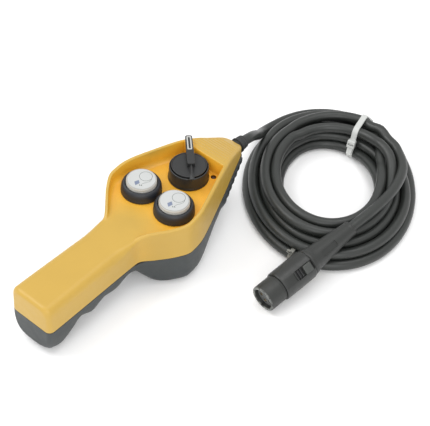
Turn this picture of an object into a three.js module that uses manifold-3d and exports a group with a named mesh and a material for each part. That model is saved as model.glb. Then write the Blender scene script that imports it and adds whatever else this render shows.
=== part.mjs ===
// Pendant control station: a hand-held, two-button station with a selector, a coiled
// supply cable and a plug. Millimetres, +Z up, +X towards the cable end.
import * as THREE from "three";
import { mergeVertices } from "three/addons/utils/BufferGeometryUtils.js";
import Module from "manifold-3d";

const wasm = await Module();
wasm.setup();

// ---------------------------------------------------------------- driving dimensions
// Lengths along X are measured from the button row, heights from the control panel.
const PANEL_HEIGHT = 48; // control panel above the table
const BUTT_X = -125.5;
const NOSE_X = 90;
const CENTRE_X = (BUTT_X + NOSE_X) / 2;
const END_RADIUS = 5; // rounded vertical corners of both ends
const WALL = 3;
const DRAFT = 0.035;
const COVER_GAP = 0.3;
const CLEAR = 0.3; // running and fitting clearance
const PARTING = { grip: -22, bendX: -30, slope: 0.1356 };
const STEP_X = 50; // step between the sunk panel and the nose
const RIM = 3; // thickness of the raised rim

// Half width, top height and bottom height of the closed housing along X.
const HALF_WIDTH = [
  [-125.5, 17.8], [-90, 17.3], [-60, 16.7], [-48, 16.5], [-42, 17.2], [-36, 19.2], [-30, 22.3],
  [-20, 31], [-10, 38], [-3, 39], [4, 38.3], [12, 36], [20, 33.2], [30, 29.5], [50, 22], [70, 14.3],
  [82, 9.9], [90, 7.6],
];
const TOP = [
  [-125.5, 0], [-46, 0], [-38, 2.2], [-30, 4.6], [-18, 7], [-5, 9.8], [10, 12.3], [25, 13], [48, 13.1],
  [62, 10], [71, 6.4], [79, 3.2], [84, 1.2], [90, -0.6],
];
const BOTTOM = [
  [-125.5, -44.5], [-121, -47.6], [-114, -48.4], [-106, -41.5], [-97, -32.5], [-90.5, -35.5],
  [-84.5, -38.5], [-79, -35.5], [-73, -32.5], [-66, -34.5], [-60, -35], [-54, -32], [-47, -29],
  [-40, -31.5], [-33, -40], [-27, -46.8], [-20, -48.8], [-8, -48.8], [5, -46.5], [20, -40.5], [38, -33],
  [60, -24.5], [78, -17.8], [90, -13.6],
];

const CONTROL_BORE = 11.3; // radius of the 22 mm control holes
const BUTTON_Y = 15.8;
const SELECTOR_X = 33.7;
const LAMP = { x: 46.4, y: -13.4, radius: 2 };
const BUTTON_TRAVEL = 3.5;
const PLUNGER_END = -15.2; // lower end of a released button's plunger
const LEVER_ANGLE = 45; // the selector rests turned to the left
const SCREWS = [[-112, 0], [-62, 0], [-26, 17], [-26, -17], [58, 10.5], [58, -10.5]];
const CLAMP = { x: 74, y: 6.8 };

const CABLE_RADIUS = 4;
const CABLE_BORE = CABLE_RADIUS + 0.3;
const CABLE_EXIT_Z = -7;
const COIL = { x: 134.5, y: -55.5, turn: 37, along: 89, across: 68, radius: 78 };
const COIL_PROFILE = [
  [42, 0], [76, 0], [78, 1.5], [78, 6.5], [75.5, 9], [68, 14.5], [60, 20.5], [47, 20.5], [42, 15],
  [39.5, 7], [39.5, 1.5],
];
const LEAD_PATH = [
  [70, 0, -7], [84, 0, -7], [96, 0, -7], [102, 0, -7.7], [108, 1, -10.2], [114, 2.9, -14],
  [122.5, 6, -20.8], [131, 10.8, -28.6], [139.5, 16, -36.2], [148.5, 20, -41.8], [158, 21.8, -44],
];
const TAIL_PATH = [
  [198, -52.3, -28.5], [196.2, -66.5, -27.7], [192.2, -79, -26.9], [184.8, -90.6, -26], [172, -100.3, -25],
  [152.9, -106.8, -23.8], [132.8, -109.2, -22.9], [114, -109.2, -22.4], [100.6, -107.9, -23.1],
  [88.5, -106.5, -24.8],
];
const LATCH_TURN = 215; // brings the latch to the upper front side
const PLUG = { front: [5.2, -96.6, -36.4], back: [94, -107.1, -24], length: 90.5 };

// ---------------------------------------------------------------- finishes
const yellow = () => finish(0xe0b040, 0.5, 0);
const slate = () => finish(0x4c5254, 0.6, 0);
const black = () => finish(0x26282a, 0.55, 0);
const rubber = () => finish(0x1e2021, 0.8, 0);
const jacket = () => finish(0x343634, 0.5, 0);
const pale = () => finish(0xd8d8d2, 0.35, 0);
const steel = () => finish(0xb4b6b8, 0.3, 1);
const brass = () => finish(0xc0a050, 0.3, 1);
const nylon = () => finish(0xe2e2dc, 0.45, 0);
const moulding = () => finish(0x6a6f72, 0.6, 0);
const smoked = () => finish(0x3a1a10, 0.15, 0);

function finish(color, roughness, metalness) {
  return new THREE.MeshStandardMaterial({ color, roughness, metalness });
}

// ---------------------------------------------------------------- helpers
function solid(geometry) {
  const plain = geometry.clone();
  plain.deleteAttribute("normal");
  plain.deleteAttribute("uv");
  const joined = mergeVertices(plain, 1e-4);
  return new wasm.Manifold(new wasm.Mesh({
    numProp: 3,
    vertProperties: new Float32Array(joined.attributes.position.array),
    triVerts: new Uint32Array(joined.index.array),
  }));
}

function surface(manifold) {
  const mesh = manifold.getMesh();
  const geometry = new THREE.BufferGeometry();
  geometry.setAttribute("position", new THREE.BufferAttribute(new Float32Array(mesh.vertProperties), 3));
  geometry.setIndex(new THREE.BufferAttribute(new Uint32Array(mesh.triVerts), 1));
  geometry.computeVertexNormals();
  return geometry;
}

function add(group, name, geometry, material) {
  const mesh = new THREE.Mesh(geometry, material);
  mesh.name = name;
  group.add(mesh);
  return mesh;
}

function groupAt(parent, x, y, z) {
  const group = new THREE.Group();
  group.position.set(x, y, z);
  parent.add(group);
  return group;
}

// Smooth value of a table of [x, value] rows.
function along(table, x) {
  const last = table.length - 1;
  if (x <= table[0][0]) return table[0][1];
  if (x >= table[last][0]) return table[last][1];
  let i = 0;
  while (table[i + 1][0] < x) i += 1;
  const slope = (k) => (k <= 0 || k >= last ? 0
    : (table[k + 1][1] - table[k - 1][1]) / (table[k + 1][0] - table[k - 1][0]));
  const [x0, a] = table[i];
  const [x1, b] = table[i + 1];
  const h = x1 - x0;
  const t = (x - x0) / h;
  const flat = a === b;
  const m0 = flat ? 0 : slope(i) * h;
  const m1 = flat ? 0 : slope(i + 1) * h;
  const t2 = t * t;
  const t3 = t2 * t;
  return (2 * t3 - 3 * t2 + 1) * a + (t3 - 2 * t2 + t) * m0 + (3 * t2 - 2 * t3) * b + (t3 - t2) * m1;
}

const partingZ = (x) => PARTING.grip + PARTING.slope * Math.max(0, x - PARTING.bendX);

// A turned piece about Z from [radius, height] points, closed on the axis or on itself.
function turned(profile, segments = 28) {
  const points = profile.map(([r, z]) => new THREE.Vector2(r, z));
  if (profile[0][0] > 0 || profile[profile.length - 1][0] > 0) points.push(points[0].clone());
  return new THREE.LatheGeometry(points, segments).rotateX(Math.PI / 2);
}

function rod(radius, z0, z1, x = 0, y = 0, segments = 14) {
  return new THREE.CylinderGeometry(radius, radius, z1 - z0, segments)
    .rotateX(Math.PI / 2)
    .translate(x, y, (z0 + z1) / 2);
}

function block(x0, x1, y0, y1, z0, z1) {
  return new THREE.BoxGeometry(x1 - x0, y1 - y0, z1 - z0)
    .translate((x0 + x1) / 2, (y0 + y1) / 2, (z0 + z1) / 2);
}

// A flat outline in X and Y, pulled up from z0 to z1.
function plate(outline, z0, z1, holes = []) {
  const shape = new THREE.Shape(outline.map(([x, y]) => new THREE.Vector2(x, y)));
  for (const hole of holes) shape.holes.push(new THREE.Path(hole.map(([x, y]) => new THREE.Vector2(x, y))));
  return new THREE.ExtrudeGeometry(shape, { depth: z1 - z0, bevelEnabled: false }).translate(0, 0, z0);
}

function ringOutline(radius, sides, squash = 1) {
  const points = [];
  for (let i = 0; i < sides; i += 1) {
    const a = (2 * Math.PI * i) / sides;
    points.push([radius * Math.cos(a), radius * squash * Math.sin(a)]);
  }
  return points;
}

// A round bar swept along a smooth path through the points.
function swept(path, radius, steps, sides = 10) {
  const curve = new THREE.CatmullRomCurve3(path.map((p) => new THREE.Vector3(...p)), false, "centripetal");
  const circle = new THREE.Shape(ringOutline(radius, sides).map(([x, y]) => new THREE.Vector2(x, y)));
  return new THREE.ExtrudeGeometry(circle, { steps, extrudePath: curve, bevelEnabled: false });
}

// ---------------------------------------------------------------- housing form
function endInset(x) {
  const d = Math.min(x - BUTT_X, NOSE_X - x, END_RADIUS);
  return END_RADIUS - Math.sqrt(Math.max(0, END_RADIUS ** 2 - (END_RADIUS - d) ** 2));
}

// Outline of the housing across X, moved in by inset; a ceiling keeps it under the panel.
function section(x, inset, ceiling) {
  const end = endInset(x);
  const rise = along(TOP, x);
  const top = Math.min(rise - 0.3 * end - inset, ceiling);
  const bottom = along(BOTTOM, x) + (x < 0 ? 0.8 : 0.3) * end + inset;
  const part = partingZ(x);
  const half = (z) => along(HALF_WIDTH, x) + DRAFT * (rise - z) - end - inset;
  const corner = Math.max(0.5, (x < -45 ? 4 : 1.4) - inset);
  const power = 4.4;
  const right = [];
  for (let i = 0; i <= 2; i += 1) {
    const a = (Math.PI / 2) * (1 - i / 2);
    right.push([half(top) - corner + corner * Math.cos(a), top - corner + corner * Math.sin(a)]);
  }
  for (let i = 0; i < 6; i += 1) {
    const a = (Math.PI / 2) * (i / 6);
    const y = half(part) * Math.cos(a) ** (2 / power);
    const z = part - (part - bottom) * Math.sin(a) ** (2 / power);
    right.push([y, z]);
  }
  const left = right.map(([y, z]) => [-y, z]).reverse();
  return [...right, [0, bottom], ...left];
}

function stations(inset, step) {
  const first = BUTT_X + inset;
  const last = NOSE_X - inset;
  const xs = [0, 0.4, 1.4, 3].map((d) => first + d);
  for (let x = -120; x <= 84; x += step) xs.push(x);
  for (const d of [3, 1.4, 0.4, 0]) if (last - d > xs[xs.length - 1] + 0.3) xs.push(last - d);
  return xs.filter((x, i) => i === 0 || x > xs[i - 1] + 0.1);
}

function loft(xs, sectionAt) {
  const rings = xs.map(sectionAt);
  const n = rings[0].length;
  const positions = [];
  rings.forEach((ring, k) => ring.forEach(([y, z]) => positions.push(xs[k], y, z)));
  const index = [];
  for (let k = 0; k + 1 < rings.length; k += 1) {
    for (let i = 0; i < n; i += 1) {
      const a = k * n + i;
      const b = k * n + ((i + 1) % n);
      index.push(a, a + n, b, b, a + n, b + n);
    }
  }
  for (const k of [0, rings.length - 1]) {
    const middle = positions.length / 3;
    const zs = rings[k].map(([, z]) => z);
    positions.push(xs[k], 0, (Math.max(...zs) + Math.min(...zs)) / 2);
    for (let i = 0; i < n; i += 1) {
      const a = k * n + i;
      const b = k * n + ((i + 1) % n);
      if (k === 0) index.push(middle, a, b);
      else index.push(middle, b, a);
    }
  }
  const geometry = new THREE.BufferGeometry();
  geometry.setAttribute("position", new THREE.Float32BufferAttribute(positions, 3));
  geometry.setIndex(index);
  return geometry;
}

// The outside takes close stations and what is inset from it takes wider ones.
function hull(inset, ceiling = 99) {
  return solid(loft(stations(inset, inset > 0 ? 9.2 : 5.1), (x) => section(x, inset, ceiling)));
}

// Everything between two heights that follow the parting line.
function partingSlab(low, high) {
  const xs = [BUTT_X - 10, PARTING.bendX, NOSE_X + 20];
  const lower = xs.map((x) => [x, partingZ(x) + low]);
  const upper = xs.map((x) => [x, partingZ(x) + high]).reverse();
  return solid(plate([...lower, ...upper], -60, 60).rotateX(Math.PI / 2));
}

// The cavity: flat under the panel, with a dome under the nose.
function cavity() {
  const xs = [STEP_X + WALL, 58, 64, 70, 76, 82];
  const dome = loft(xs, (x) => {
    const w = along(HALF_WIDTH, x) - WALL;
    const top = along(TOP, x) - WALL;
    return [[w - 1, top], [w, top - 1], [w, -6], [-w, -6], [-w, top - 1], [-(w - 1), top]];
  });
  return hull(WALL, -WALL).add(solid(dome));
}

function panelPocket() {
  const outline = [];
  for (let x = -47; x < STEP_X; x += 4.85) outline.push([x, along(HALF_WIDTH, x) - RIM]);
  outline.push([STEP_X, along(HALF_WIDTH, STEP_X) - RIM]);
  const back = outline.map(([x, y]) => [x, -y]).reverse();
  return solid(plate([...outline, ...back].reverse(), 0, 40));
}

function panelHoles() {
  const bores = [[0, BUTTON_Y], [0, -BUTTON_Y], [SELECTOR_X, 0]]
    .map(([x, y]) => solid(rod(CONTROL_BORE, -8, 8, x, y, 32)));
  const lamp = solid(rod(LAMP.radius + 0.1, -8, 8, LAMP.x, LAMP.y));
  return [...bores, lamp].reduce((a, b) => a.add(b));
}

function cableHole(radius) {
  const bore = new THREE.CylinderGeometry(radius, radius, 30, 20).rotateZ(Math.PI / 2);
  return solid(bore.translate(NOSE_X + 5, 0, CABLE_EXIT_Z));
}

// The hole for the grommet's neck with the wider seat for its flange.
function grommetHole() {
  const seat = new THREE.CylinderGeometry(6.3, 6.3, 3, 20).rotateZ(Math.PI / 2);
  return cableHole(5.4).add(solid(seat.translate(NOSE_X - 5, 0, CABLE_EXIT_Z)));
}

const screwSeat = (x) => along(BOTTOM, x) + 8;

function frontCover(outer) {
  let shell = outer.intersect(partingSlab(COVER_GAP / 2, 80));
  shell = shell.subtract(cavity());
  for (const [x, y] of SCREWS) {
    const boss = solid(rod(3.6, partingZ(x) + 1.2, 11, x, y)).intersect(hull(1));
    shell = shell.add(boss);
  }
  shell = shell.subtract(panelPocket()).subtract(panelHoles()).subtract(grommetHole());
  for (const [x, y] of SCREWS) {
    const top = Math.min(partingZ(x) + 14, along(TOP, x) - 4);
    shell = shell.subtract(solid(rod(1.6, partingZ(x) - 5, Math.min(top, x < STEP_X ? -2.2 : top), x, y)));
  }
  return surface(shell);
}

function gasketRing(outerInset, innerInset, low, high) {
  return hull(outerInset).subtract(hull(innerInset)).intersect(partingSlab(low, high));
}

function rearCover(outer) {
  const table = solid(block(-200, 200, -80, 80, -PANEL_HEIGHT, 60));
  let shell = outer.intersect(partingSlab(-80, -COVER_GAP / 2)).intersect(table);
  shell = shell.subtract(hull(WALL, -WALL));
  for (const [x, y] of SCREWS) {
    const boss = solid(rod(5, along(BOTTOM, x), partingZ(x) - 0.8, x, y)).intersect(hull(1.2));
    shell = shell.add(boss);
  }
  for (const side of [1, -1]) {
    shell = shell.add(solid(rod(2, -16, -3.6, CLAMP.x, side * CLAMP.y)));
    shell = shell.subtract(solid(rod(1.4, -12, 0, CLAMP.x, side * CLAMP.y)));
  }
  for (const [x, y] of SCREWS) {
    shell = shell.subtract(solid(rod(1.8, -60, 10, x, y)));
    shell = shell.subtract(solid(rod(3.3, -60, screwSeat(x), x, y)));
  }
  return surface(shell.subtract(gasketRing(0.8, 2.3, -1.6, 2)).subtract(grommetHole()));
}

function gasket() {
  return surface(gasketRing(1.1, 2, -1.3, -0.25).subtract(cableHole(6.6)));
}

function housingScrew(x, y) {
  const seat = screwSeat(x);
  const tip = Math.min(partingZ(x) + 12, x < STEP_X ? -3 : 8);
  const profile = [[0, seat - 2.6], [2.4, seat - 2.6], [2.9, seat - 2], [2.9, seat - 0.2],
    [1.35, seat - 0.2], [1.35, tip], [0, tip]];
  const body = solid(turned(profile, 12).translate(x, y, 0));
  const slots = [0, Math.PI / 2].map((turn) => solid(
    new THREE.BoxGeometry(3.4, 0.8, 2).rotateZ(turn).translate(x, y, seat - 2.8),
  ));
  return surface(body.subtract(slots[0]).subtract(slots[1]));
}

function addHousing(group) {
  const outer = hull(0);
  add(group, "front_cover", frontCover(outer), yellow());
  add(group, "rear_cover", rearCover(outer), slate());
  add(group, "housing_gasket", gasket(), rubber());
  SCREWS.forEach(([x, y], i) => add(group, `housing_screw_${i + 1}`, housingScrew(x, y), steel()));
}

// ---------------------------------------------------------------- controls
const BARREL = 11;
const COLLAR = 15;
const NUT_TOP = -WALL - CLEAR;

function panelSeal() {
  return turned([[11.4, 0.2], [13.4, 0.2], [13.4, 1.1], [11.4, 1.1]], 24);
}

function lockNut() {
  const bore = solid(rod(BARREL + CLEAR, -20, 20, 0, 0, 24));
  return surface(solid(plate(ringOutline(14.6, 6), NUT_TOP - 4, NUT_TOP)).subtract(bore));
}

function contactBlock(top, bottom, plungerRadius, plungerDepth) {
  let body = solid(block(-12.6, 12.6, -12.6, 12.6, bottom, top));
  body = body.subtract(solid(rod(plungerRadius, plungerDepth, top + 5, 0, 0, 16)));
  for (const x of [-9.8, 9.8]) {
    for (const y of [-7, 7]) {
      const terminal = block(x - 2.9, x + 2.9, y - 3.2, y + 3.2, bottom - 1, bottom + 4);
      body = body.subtract(solid(terminal));
    }
  }
  return surface(body);
}

function buttonBezel() {
  return turned([
    [3.6, -12], [BARREL, -12], [BARREL, 1.4], [13.7, 1.4], [13.7, 0.3], [COLLAR, 0.3], [COLLAR, 3], [14.7, 5],
    [13.9, 6.7], [12.9, 7.5], [11.9, 7.4], [11.75, 2.3], [9.9, 2.3], [9.9, -10.2], [3.6, -10.2],
  ], 26);
}

function buttonCap() {
  return turned([
    [0, 6.1], [11.1, 6.1], [11.3, 6.4], [11.3, 7.9], [10.6, 8.3], [10.6, 8.8], [11.3, 9.2], [11.3, 11.2],
    [10.9, 11.9], [10.1, 12.3], [9.9, 11.9], [0, 11.9],
  ], 26);
}

function springCoil(radius, wire, z0, z1, turns) {
  const path = [];
  const count = turns * 8;
  for (let i = 0; i <= count; i += 1) {
    const a = (2 * Math.PI * turns * i) / count;
    const z = z0 + wire + ((z1 - z0 - 2 * wire) * i) / count;
    path.push([radius * Math.cos(a), radius * Math.sin(a), z]);
  }
  return swept(path, wire, turns * 9, 5);
}

function addButton(parent, name, y) {
  const group = groupAt(parent, 0, y, 0);
  add(group, `${name}_bezel`, buttonBezel(), black());
  add(group, `${name}_seal`, panelSeal(), rubber());
  add(group, `${name}_cap`, buttonCap(), pale());
  add(group, `${name}_legend`, rod(9.6, 12.05, 12.45, 0, 0, 30), pale());
  add(group, `${name}_plunger`, turned([
    [0, PLUNGER_END], [2.9, PLUNGER_END], [2.9, -3], [9.5, -3], [9.5, -0.6], [4, -0.6], [4, 5.9], [0, 5.9],
  ], 20), moulding());
  add(group, `${name}_spring`, springCoil(6.4, 0.4, -10, -3.2, 4), steel());
  add(group, `${name}_nut`, lockNut(), black());
  const reach = PLUNGER_END - BUTTON_TRAVEL - 0.7;
  add(group, `${name}_contact_block`, contactBlock(-12.5, -32, 3.3, reach), moulding());
}

const LEVER = { reach: 27.9, width: 5.6, floor: 13.6, top: 16.5, tail: 15.2, offset: -1.3 };

function selectorKnob() {
  const disc = solid(turned([
    [0, 3], [12.6, 3], [12.6, 11.2], [13.1, 11.5], [13.1, 12.1], [12.8, 12.4], [0, 12.4],
  ], 30));
  const half = LEVER.width / 2;
  const bar = [
    [-LEVER.tail, 0], [-11, 1.9], [0, 2.2], [5, half], [LEVER.reach - 1.6, half - 0.3],
    [LEVER.reach, half - 1.4], [LEVER.reach, 1.4 - half], [LEVER.reach - 1.6, 0.3 - half], [5, -half],
    [0, -2.2], [-11, -1.9],
  ].map(([x, y]) => [x, y + LEVER.offset]).reverse();
  const handle = solid(plate(bar, LEVER.floor, LEVER.top));
  const web = solid(plate(bar, 11, LEVER.top)).intersect(solid(rod(12.9, 10, 20, 0, 0, 30)));
  const inlay = solid(plate(markerOutline(0.15), LEVER.top - 0.7, LEVER.top + 2, [markerOutline(-1.15)]));
  return surface(disc.add(handle).add(web).subtract(inlay));
}

// The white outline that marks the lever's tip, grown or shrunk by grow.
function markerOutline(grow) {
  const x0 = 12 - grow;
  const x1 = LEVER.reach - 1.6 + grow;
  const y = 1.75 + grow;
  const cut = 0.8;
  const outline = [[x0 + cut, -y], [x1 - cut, -y], [x1, cut - y], [x1, y - cut], [x1 - cut, y],
    [x0 + cut, y], [x0, y - cut], [x0, cut - y]];
  return outline.map((point) => [point[0], point[1] + LEVER.offset]);
}

function addSelector(parent) {
  const group = groupAt(parent, SELECTOR_X, 0, 0);
  add(group, "selector_bezel", turned([
    [9.4, -10], [BARREL, -10], [BARREL, 1.4], [13.7, 1.4], [13.7, 0.3], [15.2, 0.3], [15.2, 1.6],
    [14.7, 2.6], [14.6, 11.2], [14.3, 11.6], [13.6, 11.6], [13.5, 11.2], [13.5, 2.4], [9.4, 2.4],
  ], 30), black());
  add(group, "selector_seal", panelSeal(), rubber());
  add(group, "selector_nut", lockNut(), black());
  add(group, "selector_contact_block", contactBlock(-11, -23, 4.4, -17), moulding());
  const turning = groupAt(group, 0, 0, 0);
  turning.rotation.z = THREE.MathUtils.degToRad(LEVER_ANGLE);
  add(turning, "selector_knob", selectorKnob(), black());
  const marker = plate(markerOutline(0), LEVER.top - 0.5, LEVER.top + 0.05, [markerOutline(-1)]);
  add(turning, "selector_marker", marker, pale());
  add(turning, "selector_shaft", surface(
    solid(turned([[0, -16.5], [4, -16.5], [4, -9], [9, -9], [9, -6], [4, -6], [4, 2.8], [0, 2.8]], 20))
      .subtract(solid(block(3.2, 12, -12, 12, -20, -8.9))),
  ), moulding());
}

function addLamp(parent) {
  const group = groupAt(parent, LAMP.x, LAMP.y, 0);
  const r = LAMP.radius - 0.1;
  const lens = turned([[0, -3.2], [r, -3.2], [r, -0.1], [r * 0.7, 0.35], [0, 0.5]], 16);
  const led = turned([[0, -9], [2.4, -9], [2.4, -7.6], [1.8, -7.6], [1.8, -4.2], [0, -3.5]], 12);
  add(group, "indicator_lens", lens, smoked());
  add(group, "indicator_led", led, pale());
}

// ---------------------------------------------------------------- cable entry
function addCableEntry(group) {
  const grommet = turned([
    [CABLE_BORE, -6], [6, -6], [6, -3.8], [5.1, -3.8], [5.1, 0.4], [6.2, 0.4], [6.2, 2], [5.7, 3],
    [5.3, 7.4], [5, 8], [CABLE_BORE, 8],
  ], 24).rotateY(Math.PI / 2).translate(NOSE_X, 0, CABLE_EXIT_Z);
  add(group, "cable_grommet", grommet, rubber());
  let bar = solid(block(CLAMP.x - 3, CLAMP.x + 3, -8.3, 8.3, -2.7, -0.9));
  for (const side of [1, -1]) bar = bar.subtract(solid(rod(1.5, -5, 5, CLAMP.x, side * CLAMP.y)));
  add(group, "cable_clamp_bar", surface(bar), steel());
  [1, -1].forEach((side, i) => {
    const screw = turned([
      [0, -10], [1.1, -10], [1.1, -0.6], [2, -0.6], [2, 0.4], [1.6, 0.8], [0, 0.8],
    ], 12).translate(CLAMP.x, side * CLAMP.y, 0);
    add(group, `cable_clamp_screw_${i + 1}`, screw, steel());
  });
}

function addLeads(group) {
  const leads = [
    ["lead_brown", 1, [[69.6, 1.6, -8.5], [60, 2.5, -11], [52, 4, -15], [46.8, 4, -17]]],
    ["lead_blue", -1, [[69.6, 1.6, -8.5], [60, 2.5, -11], [52, 4, -15], [46.8, 4, -17]]],
    ["lead_black", 1, [[69.6, 1.6, -5.5], [61, 4.6, -9], [53, 4.8, -12], [50.6, 10, -16], [47, 16.5, -18.5],
      [32, 18, -19.5], [13.4, 17, -21]]],
    ["lead_grey", -1, [[69.6, 1.6, -5.5], [61, 4.6, -9], [53, 4.8, -12], [50.6, 10, -16], [47, 16.5, -18.5],
      [32, 18, -19.5], [13.4, 17, -21]]],
  ];
  for (const [name, side, path] of leads) {
    const points = path.map(([x, y, z]) => [x, side * y, z]);
    add(group, name, swept(points, 0.8, points.length * 2, 6), finish(0x505050, 0.5, 0));
  }
}

// ---------------------------------------------------------------- cable and ties
// Puts a form made round the origin on the table, as the oval coil lies.
function onCoil(geometry) {
  return geometry
    .scale(COIL.along / COIL.radius, COIL.across / COIL.radius, 1)
    .rotateZ(THREE.MathUtils.degToRad(COIL.turn))
    .translate(COIL.x, COIL.y, -PANEL_HEIGHT);
}

// The coil's cross section grown by grow, with its foot at the height foot.
function coilSection(grow, foot) {
  const middle = 59;
  const height = (z) => (z === 0 ? foot : z + (z > 8 ? grow : 0));
  return COIL_PROFILE.map(([r, z]) => [r + (r > middle ? grow : -grow), height(z)]);
}

const TIE = { angle: -33, width: 4.6, thickness: 1.2, foot: 1.6 };

function coilTie() {
  const outer = coilSection(0.4 + TIE.thickness, 0.1).map(([r, z]) => [r, Math.max(z, 0.1)]);
  const inner = coilSection(0.4, 0.1 + TIE.thickness).map(([r, z]) => [r, Math.max(z, 0.1 + TIE.thickness)]);
  const band = solid(plate(outer, -TIE.width / 2, TIE.width / 2, [inner]).rotateX(Math.PI / 2));
  const head = solid(block(43.5, 49.5, -2.9, 2.9, 21.2, 25.4));
  const tail = solid(block(40, 44.2, -1.9, 1.9, 22.6, 23.8));
  return surface(band.add(head).add(tail)).rotateZ(THREE.MathUtils.degToRad(TIE.angle));
}

// Room for the plug's boot where it lies across the coil.
function bootSpace() {
  const reach = [PLUG.length - 50, PLUG.length + 8];
  return solid(new THREE.CylinderGeometry(6, 11, reach[1] - reach[0], 20)
    .rotateX(Math.PI / 2)
    .translate(0, 0, (reach[0] + reach[1]) / 2)
    .applyQuaternion(plugTurn())
    .translate(...PLUG.front));
}

function plugTurn() {
  const axis = new THREE.Vector3(...PLUG.back).sub(new THREE.Vector3(...PLUG.front)).normalize();
  return new THREE.Quaternion().setFromUnitVectors(new THREE.Vector3(0, 0, 1), axis);
}

function addCable(group) {
  const lead = swept(LEAD_PATH, CABLE_RADIUS, 20);
  const tail = swept(TAIL_PATH, CABLE_RADIUS, 22);
  const underTie = block(30, 90, -3.2, 3.2, -1, TIE.foot).rotateZ(THREE.MathUtils.degToRad(TIE.angle));
  const groove = solid(onCoil(underTie));
  const coil = solid(onCoil(turned(COIL_PROFILE, 44)))
    .subtract(solid(swept(LEAD_PATH, CABLE_RADIUS + 0.6, 20)))
    .subtract(solid(swept(TAIL_PATH, CABLE_RADIUS + 0.6, 22)))
    .subtract(bootSpace())
    .subtract(groove);
  add(group, "cable_lead", lead, jacket());
  add(group, "cable_coil", surface(coil), jacket());
  add(group, "cable_tail", tail, jacket());
  add(group, "cable_tie", onCoil(coilTie()), nylon());
}

// ---------------------------------------------------------------- plug
// Turned about its own axis, mating face at 0 and the cable end at PLUG.length.
function addPlug(parent) {
  const plug = groupAt(parent, ...PLUG.front);
  plug.quaternion.copy(plugTurn());
  add(plug, "plug_shell", turned([
    [8.2, 0], [10, 0], [10.3, 0.4], [10.3, 14.7], [8.6, 14.7], [8.6, 50], [6.6, 50], [6.6, 12], [8.2, 12],
  ], 28), black());
  const sleeve = groupAt(plug, 0, 0, 0);
  sleeve.rotation.z = THREE.MathUtils.degToRad(LATCH_TURN);
  const band = [[8.9, 15.1], [11, 15.1], [11.4, 15.6], [11.4, 43.4], [11, 43.9], [8.9, 43.9]];
  let ring = solid(turned(band, 28));
  ring = ring.subtract(solid(block(9.4, 13, -3.7, 3.7, 27.4, 43.4)));
  add(sleeve, "plug_coupling_ring", surface(ring), black());
  add(sleeve, "plug_latch", surface(
    solid(block(9.7, 12.6, -3.3, 3.3, 27.8, 41.2))
      .subtract(solid(block(11.3, 13, -4, 4, 27, 34.4)))
      .subtract(solid(block(10.1, 13, -4, 4, 29.8, 31.5)))
      .subtract(solid(block(10.1, 13, -4, 4, 32.4, 34.4))),
  ), black());
  let insert = solid(rod(7.8, 3, 11.6, 0, 0, 28));
  const places = ringOutline(4.6, 5);
  for (const [x, y] of places) insert = insert.subtract(solid(rod(1.5, 0, 20, x, y, 12)));
  add(plug, "plug_insert", surface(insert), moulding());
  places.forEach(([x, y], i) => {
    const contact = solid(rod(1.2, 3.4, 11.4, x, y, 10)).subtract(solid(rod(0.7, 0, 9, x, y, 8)));
    add(plug, `plug_contact_${i + 1}`, surface(contact), brass());
  });
  add(plug, "plug_boot", turned([
    [8.9, 44.3], [10.4, 44.3], [10.2, 47], [9.3, 50], [5.9, PLUG.length - 1], [5.4, PLUG.length],
    [CABLE_BORE, PLUG.length], [CABLE_BORE, 62], [8.9, 51],
  ], 28), rubber());
}

// ---------------------------------------------------------------- assembly
const station = new THREE.Group();
station.name = "pendant_control_station";
const body = groupAt(station, -CENTRE_X, 0, PANEL_HEIGHT);
addHousing(body);
addButton(body, "button_left", BUTTON_Y);
addButton(body, "button_right", -BUTTON_Y);
addSelector(body);
addLamp(body);
addCableEntry(body);
addLeads(body);
addCable(body);
addPlug(body);

export default station;
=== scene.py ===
"""Pendant control station: the looks of the part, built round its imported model.

Shapes are worked out in the station's own millimetres: X from the button row towards the
cable end, Z up from the control panel. TO_FRAME takes them to the frame, in metres.
"""
import bisect
from math import atan, atan2, cos, pi, radians, sin, sqrt, tau

import bmesh
import bpy
import numpy as np
from mathutils import Matrix, Vector
from numpy.linalg import norm


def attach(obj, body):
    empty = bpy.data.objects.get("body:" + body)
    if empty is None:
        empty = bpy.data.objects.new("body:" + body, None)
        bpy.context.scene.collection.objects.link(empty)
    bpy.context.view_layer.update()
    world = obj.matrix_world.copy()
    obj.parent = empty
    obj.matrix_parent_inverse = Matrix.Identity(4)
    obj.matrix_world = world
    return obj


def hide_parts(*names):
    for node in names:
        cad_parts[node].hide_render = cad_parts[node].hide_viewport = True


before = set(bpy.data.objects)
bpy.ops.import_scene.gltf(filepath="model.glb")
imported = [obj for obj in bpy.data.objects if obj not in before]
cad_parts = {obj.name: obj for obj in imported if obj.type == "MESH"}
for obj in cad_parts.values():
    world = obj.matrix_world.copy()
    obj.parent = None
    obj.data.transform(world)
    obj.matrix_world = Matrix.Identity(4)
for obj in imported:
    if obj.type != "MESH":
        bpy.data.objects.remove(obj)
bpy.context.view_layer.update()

# ---- driving dimensions, mm
PANEL = Vector((17.75, 0, 48))  # the button row, at the panel's height, in the frame
TABLE = -PANEL.z
MM = 0.001
TO_FRAME = Matrix.Scale(MM, 4) @ Matrix.Translation(PANEL)

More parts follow.
